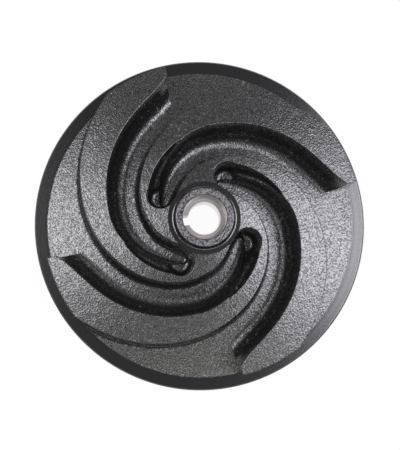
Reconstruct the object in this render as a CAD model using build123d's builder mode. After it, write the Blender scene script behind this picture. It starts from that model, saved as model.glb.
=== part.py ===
"""Semi-open pump impeller: one iron casting with a back shroud and four thick spiral vanes."""

import os
from math import cos, exp, hypot, log, radians, sin, tan

from build123d import *

os.makedirs("parts", exist_ok=True)

# ---- overall sizes, mm ----
outer_diameter = 216.0
rim_band_width = 8.5
rim_thickness = 6.0
tip_height = 36.0

# ---- slopes, degrees ----
front_slope = 7.5
wall_draft = 3.5

# ---- bore, from the screw's side down to the shaft's ----
bore_diameter = 20.0
bore_length = 16.0
key_width = 6.0
key_depth = 3.3
seat_width = 3.5
recess_depth = 8.5
shoulder_width = 5.0

# ---- boss, and the turned groove round its foot ----
boss_wall = 4.5
boss_rise = 5.85
groove_width = 4.4
groove_depth = 0.8
groove_fillet = 2.0

# ---- shroud ----
floor_step = 0.6
shroud_thickness = 7.0
back_hub_wall = 10.0
dish_edge_depth = 0.6
dish_draft = 2.0
dish_fillet = 5.0

# ---- vanes; a turn is clockwise from the vane's own zero ray, degrees ----
vane_count = 4
vane_phase = 7.0
concave_end_turn = 98.9
concave_bow = 0.0108
convex_start_turn = -136.6
convex_end_turn = 53.4
convex_bow = 0.043
tip_turn = 76.0
flare_turn = 58.0
tip_flare = 6.0
concave_fillet = 12.0
convex_fillet = 4.0

# ---- inlet slot, and the ramped ledge on its concave side ----
slot_turn = -62.0
slot_width = 16.5
throat_turn = -63.0
ledge_end_turn = -10.0
ledge_width = 6.4
ledge_start_height = 5.0
ledge_fillet = 4.0
crest_radius = 2.5
crest_arc = 60.0

# ---- how far a cutting shape passes what it cuts ----
cut_margin = 4.0
crest_margin = 0.3
groove_margin = 0.3
end_clearance = 0.2

# ---- edge breaks ----
vane_edge_round = 0.5
boss_edge_round = 0.8
recess_chamfer = 0.6
rim_chamfer = 0.8

outer_radius = outer_diameter / 2
tip_radius = outer_radius - rim_band_width
bore_radius = bore_diameter / 2
recess_radius = bore_radius + seat_width
boss_radius = recess_radius + boss_wall
hub_radius = boss_radius + groove_width
root_radius = hub_radius - groove_margin
shoulder_radius = bore_radius + shoulder_width
back_hub_radius = shoulder_radius + back_hub_wall
pitch = 360.0 / vane_count
steepness = tan(radians(front_slope))
lean = tan(radians(wall_draft))


def front_height(radius):
    """Height of the vanes' conical front at a radius."""
    return tip_height + (tip_radius - radius) * steepness


def floor_height(radius):
    """Height of the channel floor, which runs parallel to the vanes' front."""
    return rim_thickness + floor_step + (tip_radius - radius) * steepness


groove_height = front_height(hub_radius) - groove_depth
overall_height = front_height(hub_radius) + boss_rise
full_height = overall_height + cut_margin
seat_height = overall_height - recess_depth
shoulder_height = seat_height - bore_length


def spiral(turn, start_turn, start_radius, end_turn, end_radius, bow):
    """Radius of a spiral edge that runs from one radius to another, bowed outward between them."""
    share = (turn - start_turn) / (end_turn - start_turn)
    bulge = bow * radians(turn - start_turn) * radians(end_turn - turn)
    return start_radius * exp(log(end_radius / start_radius) * share + bulge)


def concave_edge(turn):
    """Radius of a vane's concave front edge: across the slot from the hub, out to the tip circle."""
    slot_radius = hub_radius + slot_width
    return spiral(turn, slot_turn, slot_radius, concave_end_turn, tip_radius, concave_bow)


def convex_edge(turn):
    """Radius of a vane's convex front edge, from the hub out to the tip circle."""
    return spiral(turn, convex_start_turn, root_radius, convex_end_turn, tip_radius, convex_bow)


def outer_wall(turn):
    """Radius of a channel's outer wall: the concave edge, less the ledge, plus the tip flare."""
    ledge_left = max(0.0, (ledge_end_turn - turn) / (ledge_end_turn - slot_turn))
    flare_reached = max(0.0, (turn - flare_turn) / (tip_turn - flare_turn))
    return concave_edge(turn) - ledge_width * ledge_left + tip_flare * flare_reached**3


def inner_wall(turn):
    """Radius of a channel's inner wall: the hub at first, then the convex side of the vane behind."""
    return max(root_radius, convex_edge(turn - pitch))


def on_front(edge):
    """Whether an edge lies on the vanes' conical front, out past the groove."""
    points = (edge @ 0, edge @ 0.5, edge @ 1)
    flat = all(abs(point.Z - front_height(hypot(point.X, point.Y))) < 0.05 for point in points)
    return flat and hypot(points[1].X, points[1].Y) > hub_radius + 0.1


def radial_plane(turn):
    """Plane through the axis at a turn, its X outward and its Y up."""
    angle = radians(turn + vane_phase)
    return Plane(origin=(0, 0, 0), x_dir=(sin(angle), cos(angle), 0), z_dir=(cos(angle), -sin(angle), 0))


def plan_point(radius, turn):
    """Point in plan at a radius and a turn."""
    angle = radians(turn + vane_phase)
    return (radius * sin(angle), radius * cos(angle))


def drafted(radius, height, side):
    """Where a wall that meets the front at a radius stands at a height; side is 1 if it leans outward."""
    return radius + side * (height - front_height(radius)) * lean


def channel_corners(near, far):
    """Corners of a channel section between two radii, with drafted walls down to the floor."""
    near_foot = drafted(near, floor_height(near), -1)
    far_foot = drafted(far, floor_height(far), 1)
    return [
        (drafted(near, full_height, -1), full_height),
        (near_foot, floor_height(near_foot)),
        (far_foot, floor_height(far_foot)),
        (drafted(far, full_height, 1), full_height),
    ]


# ---- the channel from beside the hub to the vane's tip ----
with BuildPart() as throat_channel:
    for turn in (throat_turn, -52, -40, -26, -10, 8, 26, 42, 56, 68, tip_turn):
        corners = channel_corners(inner_wall(turn), outer_wall(turn))
        floor_width = corners[2][0] - corners[1][0]
        with BuildSketch(radial_plane(turn)) as section:
            with BuildLine():
                Polyline(*corners, close=True)
            make_face()
            far_foot = section.vertices().sort_by(Axis.X)[2]
            fillet(far_foot, min(concave_fillet, 0.50 * floor_width))
            near_foot = section.vertices().sort_by(Axis.X)[1]
            fillet(near_foot, min(convex_fillet, 0.30 * floor_width))
    loft()

# ---- the channel's mouth, from the vane's tip round to the next vane ----
mouth_end_turn = convex_end_turn + pitch + 7.0

with BuildPart() as mouth_channel:
    for turn in (tip_turn, 90, 104, 118, 134, mouth_end_turn):
        corners = channel_corners(inner_wall(turn), outer_radius + cut_margin)
        with BuildSketch(radial_plane(turn)) as section:
            with BuildLine():
                Polyline(*corners, close=True)
            make_face()
            near_foot = section.vertices().sort_by(Axis.X)[1]
            fillet(near_foot, convex_fillet)
    loft()

# ---- the relief above the ledge, which climbs to the front and has a rounded crest ----
ledge_low = floor_height(outer_wall(slot_turn)) + ledge_start_height
ledge_high = front_height(concave_edge(ledge_end_turn)) + 1.0
crest_reach = crest_radius * sin(radians(crest_arc)) - crest_margin
crest_drop = crest_radius * (1 - cos(radians(crest_arc)))

with BuildPart() as ledge_relief:
    for turn in (slot_turn, -50, -38, -26, -16, ledge_end_turn):
        climb = (turn - slot_turn) / (ledge_end_turn - slot_turn)
        shelf = ledge_low + (ledge_high - ledge_low) * climb
        wall = drafted(outer_wall(turn), shelf, 1)
        far = drafted(concave_edge(turn), shelf, 1)
        crest_start = min(wall + crest_reach, far - ledge_fillet)
        with BuildSketch(radial_plane(turn)) as section:
            with BuildLine():
                crest = JernArc((crest_start, shelf), (-1, 0), crest_radius, crest_arc)
                near = (crest @ 1).X - cut_margin
                Polyline(
                    crest @ 1,
                    (near, shelf - crest_drop),
                    (near, full_height),
                    (drafted(concave_edge(turn), full_height, 1), full_height),
                    (far, shelf),
                    crest @ 0,
                )
            make_face()
            far_foot = section.vertices().sort_by(Axis.X)[-2]
            fillet(far_foot, ledge_fillet)
    loft()

# ---- drafted round ends of the channel and of the relief ----
throat_far = outer_wall(throat_turn) - end_clearance
throat_center = (root_radius + throat_far) / 2
throat_floor = floor_height(throat_center)
throat_foot = drafted(throat_far, throat_floor, 1) - throat_center
throat_depth = full_height - throat_floor

with BuildPart() as throat_end:
    with Locations((*plan_point(throat_center, throat_turn), throat_floor)):
        throat_top = throat_foot + throat_depth * lean
        Cone(throat_foot, throat_top, throat_depth, align=(Align.CENTER, Align.CENTER, Align.MIN))
    fillet(throat_end.edges().sort_by(Axis.Z)[0], 0.8 * throat_foot)

slot_far = concave_edge(slot_turn) + end_clearance
slot_center = (root_radius + end_clearance + slot_far) / 2
slot_foot = drafted(slot_far, ledge_low, 1) - slot_center
slot_depth = full_height - ledge_low

with BuildPart() as slot_end:
    with Locations((*plan_point(slot_center, slot_turn), ledge_low)):
        slot_top = slot_foot + slot_depth * lean
        Cone(slot_foot, slot_top, slot_depth, align=(Align.CENTER, Align.CENTER, Align.MIN))
    fillet(slot_end.edges().sort_by(Axis.Z)[0], min(ledge_fillet, 0.8 * slot_foot))

# ---- the casting ----
with BuildPart() as impeller:
    with BuildSketch(Plane.XZ) as profile:
        with BuildLine():
            Polyline(
                (0, 0),
                (tip_radius, 0),
                (tip_radius, tip_height),
                (hub_radius, front_height(hub_radius)),
                (hub_radius, groove_height),
                (boss_radius, groove_height),
                (boss_radius, overall_height),
                (0, overall_height),
                close=True,
            )
        make_face()
        boss_corners = profile.vertices().filter_by(lambda corner: abs(corner.X - boss_radius) < 0.01)
        fillet(boss_corners.sort_by(Axis.Y)[0], groove_fillet)
        fillet(profile.vertices().group_by(Axis.Y)[-1].sort_by(Axis.X)[-1], boss_edge_round)
    revolve(axis=Axis.Z)
    with PolarLocations(0, vane_count):
        add(throat_channel.part, mode=Mode.SUBTRACT)
        add(mouth_channel.part, mode=Mode.SUBTRACT)
        add(ledge_relief.part, mode=Mode.SUBTRACT)
        add(throat_end.part, mode=Mode.SUBTRACT)
        add(slot_end.part, mode=Mode.SUBTRACT)
    fillet(impeller.edges().filter_by(on_front), vane_edge_round)

    # turned rim band outside the vane tips
    rim_inner = tip_radius - rim_band_width
    with BuildSketch(Plane.XZ):
        with BuildLine():
            Polyline(
                (rim_inner, 0),
                (outer_radius - rim_chamfer, 0),
                (outer_radius, rim_chamfer),
                (outer_radius, rim_thickness - rim_chamfer),
                (outer_radius - rim_chamfer, rim_thickness),
                (rim_inner, rim_thickness),
                close=True,
            )
        make_face()
    revolve(axis=Axis.Z)

    # hollow back, so the shroud is one thickness from the hub to where the hollow runs out
    dish_run = (rim_thickness + floor_step - shroud_thickness - dish_edge_depth) / steepness
    dish_outer = tip_radius + dish_run
    dish_inner = back_hub_radius + dish_draft
    with BuildSketch(Plane.XZ) as dish:
        with BuildLine():
            Polyline(
                (back_hub_radius, 0),
                (dish_inner, floor_height(dish_inner) - shroud_thickness),
                (dish_outer, dish_edge_depth),
                (dish_outer + dish_edge_depth, 0),
                close=True,
            )
        make_face()
        fillet(dish.vertices().sort_by(Axis.X)[1], dish_fillet)
    revolve(axis=Axis.Z, mode=Mode.SUBTRACT)

    # stepped bore: screw recess in front, keyed seat, shaft shoulder behind
    with BuildSketch(Plane.XZ):
        with BuildLine():
            Polyline(
                (0, -1),
                (shoulder_radius, -1),
                (shoulder_radius, shoulder_height),
                (bore_radius, shoulder_height),
                (bore_radius, seat_height),
                (recess_radius, seat_height),
                (recess_radius, overall_height - recess_chamfer),
                (recess_radius + recess_chamfer + 1, overall_height + 1),
                (0, overall_height + 1),
                close=True,
            )
        make_face()
    revolve(axis=Axis.Z, mode=Mode.SUBTRACT)

    # keyway toward -X, through the seat
    with BuildSketch(Plane.XY.offset(shoulder_height - 1)):
        with Locations((-(bore_radius + key_depth) / 2, 0)):
            Rectangle(bore_radius + key_depth, key_width)
    extrude(amount=bore_length + 1, mode=Mode.SUBTRACT)

impeller.part.label = "impeller"
export_step(impeller.part, "parts/impeller.step")
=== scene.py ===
"""Looks for the pump impeller: coated sand-cast iron, turned bands and a bare turned bore."""

from math import cos, pi, radians, sin, tan

import bpy
from mathutils import Matrix, Vector

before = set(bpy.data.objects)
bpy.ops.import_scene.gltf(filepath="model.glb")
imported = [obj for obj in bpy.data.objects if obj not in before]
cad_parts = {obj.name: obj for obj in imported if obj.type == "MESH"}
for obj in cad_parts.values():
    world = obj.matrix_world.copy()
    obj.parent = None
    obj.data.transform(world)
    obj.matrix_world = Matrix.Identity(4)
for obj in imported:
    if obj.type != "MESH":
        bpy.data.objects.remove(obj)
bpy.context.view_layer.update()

# ---- places on the casting that its finishes follow, metres ----
outer_radius = 0.108
tip_radius = 0.0995
rim_height = 0.006
hub_radius = 0.0224
boss_radius = 0.018
recess_radius = 0.0135
shaft_radius = 0.01
relief_radius = 0.015
relief_top = 0.0276
groove_floor = 0.04535

# ---- camera ----
camera_distance = 5.86 * outer_radius
camera_tilt = 0.10258
camera_bearing = radians(32.0)
part_roll = radians(7.0)
axis_right = 0.0053335 * outer_radius
axis_up = 0.0079552 * outer_radius
focal_pixels = 966.96
image_height = 450


def add_to_scene(obj):
    bpy.context.scene.collection.objects.link(obj)
    return obj


# ================= node helpers =================

FLOAT = "NodeSocketFloat"


class Nodes:
    """Adds nodes to one tree, with each input given as a value or as another node's output."""

    def __init__(self, tree):
        self.tree = tree

    def feed(self, socket, value):
        if isinstance(value, bpy.types.NodeSocket):
            self.tree.links.new(value, socket)
        else:
            socket.default_value = value

    def add(self, kind, inputs=None, **settings):
        node = self.tree.nodes.new(kind)
        for name, value in settings.items():
            setattr(node, name, value)
        for name, value in (inputs or {}).items():
            self.feed(node.inputs[name], value)
        return node

    def math(self, operation, a, b=0.0, c=0.0):
        return self.add("ShaderNodeMath", {0: a, 1: b, 2: c}, operation=operation).outputs[0]

    def ramp(self, value, low, high, to_low=0.0, to_high=1.0):
        """A value from low to high, carried to to_low to to_high and held there outside."""
        inputs = {"Value": value, "From Min": low, "From Max": high, "To Min": to_low, "To Max": to_high}
        return self.add("ShaderNodeMapRange", inputs).outputs["Result"]

    def blend(self, share, a, b):
        """Colours, numbers or vectors a and b blended by a share from 0 to 1."""
        if isinstance(a, tuple) or isinstance(b, tuple) or getattr(a, "type", "") == "RGBA":
            node = self.add("ShaderNodeMix", {0: share, 6: a, 7: b}, data_type="RGBA")
            return node.outputs[2]
        if getattr(a, "type", "") == "VECTOR":
            node = self.add("ShaderNodeMix", {0: share, 4: a, 5: b}, data_type="VECTOR")
            return node.outputs[1]
        return self.add("ShaderNodeMix", {0: share, 2: a, 3: b}, data_type="FLOAT").outputs[0]

    def bump(self, height):
        """A surface normal tilted by a height in metres."""
        inputs = {"Height": height, "Strength": 1.0, "Distance": 1.0}
        return self.add("ShaderNodeBump", inputs).outputs[0]

    def noise(self, place, size, detail=0.0, roughness=0.5):
        """Noise from 0 to 1 with lumps about as wide as size."""
        scale = self.math("DIVIDE", 1.0, size)
        inputs = {"Vector": place, "Scale": scale, "Detail": detail, "Roughness": roughness}
        return self.add("ShaderNodeTexNoise", inputs).outputs[0]


def new_group(name, inputs, outputs):
    tree = bpy.data.node_groups.new(name, "ShaderNodeTree")
    for label, kind, value in inputs:
        socket = tree.interface.new_socket(label, in_out="INPUT", socket_type=kind)
        if value is not None:
            socket.default_value = value
    for label, kind in outputs:
        tree.interface.new_socket(label, in_out="OUTPUT", socket_type=kind)
    nodes = Nodes(tree)
    return tree, nodes, nodes.add("NodeGroupInput").outputs, nodes.add("NodeGroupOutput").inputs


def place_group(nodes, tree, **values):
    node = nodes.add("ShaderNodeGroup")
    node.node_tree = tree
    for name, value in values.items():
        nodes.feed(node.inputs[name.replace("_", " ")], value)
    return node.outputs


# ================= effects =================


def make_cast_grain():
    """Skin of a sand casting under paint: close grains, softer lumps and a few pits."""
    tree, nodes, given, result = new_group(
        "cast_grain",
        [("Grain", FLOAT, 0.0013), ("Lump", FLOAT, 0.006), ("Relief", FLOAT, 0.0001)],
        [("Height", FLOAT), ("Crests", FLOAT)],
    )
    place = nodes.add("ShaderNodeTexCoord").outputs["Object"]
    grain = nodes.noise(place, given["Grain"], 2.0, 0.6)
    lump = nodes.noise(place, given["Lump"], 1.0)
    height = nodes.math("MULTIPLY_ADD", lump, 0.7, grain)
    nodes.feed(result["Height"], nodes.math("MULTIPLY", height, given["Relief"]))
    nodes.feed(result["Crests"], nodes.ramp(grain, 0.38, 0.62))
    return tree


def make_turning_marks():
    """Fine rings left by a turning tool round the shaft's axis."""
    tree, nodes, given, result = new_group(
        "turning_marks",
        [("Feed", FLOAT, 0.0003), ("Relief", FLOAT, 0.00001)],
        [("Height", FLOAT), ("Rings", FLOAT)],
    )
    place = nodes.add("ShaderNodeSeparateXYZ", {0: nodes.add("ShaderNodeTexCoord").outputs["Object"]}).outputs
    across = nodes.math("MULTIPLY", place[0], place[0])
    radius = nodes.math("SQRT", nodes.math("MULTIPLY_ADD", place[1], place[1], across))
    along = nodes.add("ShaderNodeCombineXYZ", {0: radius, 2: place[2]}).outputs[0]
    rings = nodes.noise(along, given["Feed"], 2.0)
    nodes.feed(result["Height"], nodes.math("MULTIPLY", rings, given["Relief"]))
    nodes.feed(result["Rings"], nodes.ramp(rings, 0.3, 0.7))
    return tree


def make_coat_flecks():
    """Small chips and worn spots in the coating, gathered in loose patches."""
    tree, nodes, given, result = new_group(
        "coat_flecks",
        [("Fleck", FLOAT, 0.0024), ("Patch", FLOAT, 0.03), ("Spread", FLOAT, 0.5)],
        [("Wear", FLOAT)],
    )
    place = nodes.add("ShaderNodeTexCoord").outputs["Object"]
    flecks = nodes.ramp(nodes.noise(place, given["Fleck"], 2.0, 0.65), 0.62, 0.66)
    edge = nodes.math("ADD", given["Spread"], 0.08)
    patches = nodes.ramp(nodes.noise(place, given["Patch"], 1.0), given["Spread"], edge)
    nodes.feed(result["Wear"], nodes.math("MULTIPLY", flecks, patches))
    return tree


cast_grain = make_cast_grain()
turning_marks = make_turning_marks()
coat_flecks = make_coat_flecks()

# ================= casting finish =================

# coat colours of the cast skin: the darker colour in the grain's pits is painted shade in its hollows
coat_pit_shade = (0.009, 0.009, 0.0095, 1)
coat_crests = (0.016, 0.016, 0.0165, 1)
coat_turned = (0.011, 0.011, 0.012, 1)
coat_chipped = (0.13, 0.126, 0.122, 1)
# painted sheen on the boss face: light speckle that stands in for the light the boss catches
boss_sheen_pits = (0.2, 0.194, 0.206, 1)
boss_sheen_crests = (0.012, 0.012, 0.013, 1)
metal_dark = (0.3, 0.283, 0.272, 1)
metal_light = (0.66, 0.64, 0.63, 1)
metal_polished = (0.82, 0.81, 0.8, 1)


def make_casting_finish():
    material = bpy.data.materials.new("coated_casting")
    material.use_nodes = True
    material.node_tree.nodes.clear()
    nodes = Nodes(material.node_tree)
    place = nodes.add("ShaderNodeTexCoord").outputs["Object"]
    axes = nodes.add("ShaderNodeSeparateXYZ", {0: place}).outputs
    across = nodes.math("MULTIPLY", axes[0], axes[0])
    radius = nodes.math("SQRT", nodes.math("MULTIPLY_ADD", axes[1], axes[1], across))
    height = axes[2]

    # turned before coating: rim band, groove round the boss, back land and hub ring
    rim_band = nodes.ramp(radius, tip_radius + 0.0001, tip_radius + 0.0004)
    in_groove = nodes.math(
        "MULTIPLY",
        nodes.ramp(radius, boss_radius - 0.0001, boss_radius + 0.0001),
        nodes.ramp(radius, hub_radius + 0.0001, hub_radius - 0.0001),
    )
    above_floor = nodes.ramp(height, groove_floor - 0.0003, groove_floor - 0.0002)
    groove = nodes.math("MULTIPLY", in_groove, above_floor)
    back_face = nodes.ramp(height, 0.0002, 0.0001)
    turned = nodes.math("MAXIMUM", nodes.math("MAXIMUM", rim_band, groove), back_face)

    # turned after coating: the stepped bore and the screw's seat
    bore = nodes.ramp(radius, recess_radius + 0.0002, recess_radius + 0.0001)
    relief = nodes.math(
        "MULTIPLY",
        nodes.ramp(radius, relief_radius + 0.0003, relief_radius + 0.0001),
        nodes.ramp(height, relief_top + 0.0001, relief_top),
    )
    bare = nodes.math("MAXIMUM", bore, relief)

    grain = place_group(nodes, cast_grain, Grain=0.00115, Lump=0.005, Relief=0.00021)
    marks = place_group(nodes, turning_marks, Feed=0.0007, Relief=0.00002)
    smooth = nodes.math("MAXIMUM", turned, bare)
    normal = nodes.blend(smooth, nodes.bump(grain["Height"]), nodes.bump(marks["Height"]))

    # painted highlight: the boss face gets a lighter speckled colour that stands in for its sheen
    on_boss = nodes.ramp(radius, boss_radius + 0.0001, boss_radius - 0.0001)
    boss_sheen = nodes.blend(grain["Crests"], boss_sheen_pits, boss_sheen_crests)
    # painted shade: the coat is darker in the grain's pits than on its crests
    coat = nodes.blend(grain["Crests"], coat_pit_shade, coat_crests)
    coat = nodes.blend(on_boss, coat, boss_sheen)
    coat = nodes.blend(turned, coat, coat_turned)
    flecks = place_group(nodes, coat_flecks, Fleck=0.0024, Patch=0.03, Spread=0.5)
    wear = nodes.math("MULTIPLY", flecks["Wear"], nodes.math("SUBTRACT", 1.0, smooth))
    coat = nodes.blend(wear, coat, coat_chipped)
    metal = nodes.blend(marks["Rings"], metal_dark, metal_light)
    polished = nodes.ramp(radius, shaft_radius + 0.0003, shaft_radius + 0.0001)
    metal = nodes.blend(polished, metal, metal_polished)
    color = nodes.blend(bare, coat, metal)
    roughness = nodes.blend(turned, nodes.ramp(grain["Crests"], 0.0, 1.0, 0.38, 0.14), 0.18)
    roughness = nodes.blend(bare, roughness, 0.3)

    shader = nodes.add(
        "ShaderNodeBsdfPrincipled",
        {"Base Color": color, "Roughness": roughness, "Metallic": bare, "IOR": 1.75, "Normal": normal},
    )
    # painted shade: the coat's reflection is thinned almost to nothing in the grain's pits and kept full on
    # its crests
    coat_weight_pit_shade = nodes.blend(turned, nodes.ramp(grain["Crests"], 0.1, 0.7, 0.05, 1.0), 0.2)
    nodes.feed(shader.inputs["Coat Weight"], nodes.blend(bare, coat_weight_pit_shade, 0.0))
    shader.inputs["Coat Roughness"].default_value = 0.1
    nodes.feed(shader.inputs["Coat Normal"], normal)
    nodes.add("ShaderNodeOutputMaterial", {"Surface": shader.outputs[0]})
    return material


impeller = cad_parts["impeller"]
impeller.data.materials.clear()
impeller.data.materials.append(make_casting_finish())

# ================= floor =================


def make_floor_finish():
    material = bpy.data.materials.new("studio_floor")
    material.use_nodes = True
    material.node_tree.nodes.clear()
    nodes = Nodes(material.node_tree)
    path = nodes.add("ShaderNodeLightPath").outputs
    seen = nodes.math("MAXIMUM", path["Is Camera Ray"], path["Is Glossy Ray"])
    seen = nodes.math("MAXIMUM", seen, path["Is Transmission Ray"])
    paper = nodes.add("ShaderNodeBsdfDiffuse", {"Color": (0.8, 0.8, 0.8, 1)}).outputs[0]
    white = nodes.add("ShaderNodeEmission", {"Color": (1, 1, 1, 1), "Strength": 1.02}).outputs[0]
    share = nodes.math("MULTIPLY", seen, 0.94)
    both = nodes.add("ShaderNodeMixShader", {0: share, 1: paper, 2: white}).outputs[0]
    nodes.add("ShaderNodeOutputMaterial", {"Surface": both})
    return material


bpy.ops.mesh.primitive_plane_add(size=24.0, location=(0, 0, -0.0005))
floor = bpy.context.object
floor.name = "studio_floor"
floor.data.materials.append(make_floor_finish())

# ================= light =================

light_distance = 1.3
base_light = 0.13


def soft_box(name, right, up, half_width, half_height, brightness, color):
    """Rectangular softbox, placed by its angles from straight above and aimed at the part, degrees."""
    to_part = Matrix.Rotation(-part_roll, 3, "Z")
    way = to_part @ Vector((tan(radians(right)), tan(radians(up)), 1.0)).normalized()
    lamp = bpy.data.lights.new(name, "AREA")
    lamp.shape = "RECTANGLE"
    lamp.size = 2 * light_distance * tan(radians(half_width))
    lamp.size_y = 2 * light_distance * tan(radians(half_height))
    lamp.energy = brightness * pi * lamp.size * lamp.size_y
    lamp.color = color
    obj = add_to_scene(bpy.data.objects.new(name, lamp))
    up_line = to_part @ Vector((0, 1, 0))
    upright = (up_line - way * up_line.dot(way)).normalized()
    sideways = upright.cross(way)
    axes = Matrix((sideways, upright, way)).transposed()
    obj.matrix_world = Matrix.Translation(way * light_distance) @ axes.to_4x4()
    return obj


soft_box("right_box", 27.5, 0, 12.5, 15, 6.8, (0.95, 0.93, 1.0))
soft_box("left_box", -29, 4, 12, 13, 7.0, (0.98, 0.96, 1.0))
soft_box("near_strip", 2, -31, 18, 4, 4.2, (1.0, 0.98, 0.92))
soft_box("far_strip", -2, 44, 18, 4, 2.4, (1.0, 0.97, 1.0))

world = bpy.data.worlds.new("studio")
bpy.context.scene.world = world
world.use_nodes = True
world.node_tree.nodes["Background"].inputs["Color"].default_value = (1, 1, 1, 1)
world.node_tree.nodes["Background"].inputs["Strength"].default_value = base_light

# ================= camera =================

lens = bpy.data.cameras.new("camera")
lens.sensor_fit = "VERTICAL"
lens.sensor_height = 24.0
lens.lens = lens.sensor_height * focal_pixels / image_height
lens.clip_end = 20.0
camera = add_to_scene(bpy.data.objects.new("camera", lens))
tilt_line = Vector((-cos(camera_bearing), sin(camera_bearing), 0.0))
turn = Matrix.Rotation(camera_tilt, 3, tilt_line) @ Matrix.Rotation(part_roll, 3, "Z")
eye = turn.inverted() @ Vector((-axis_right, -axis_up, camera_distance)) + Vector((0, 0, rim_height))
camera.matrix_world = Matrix.Translation(eye) @ turn.inverted().to_4x4()
bpy.context.scene.camera = camera

bpy.context.scene.view_settings.view_transform = "Standard"
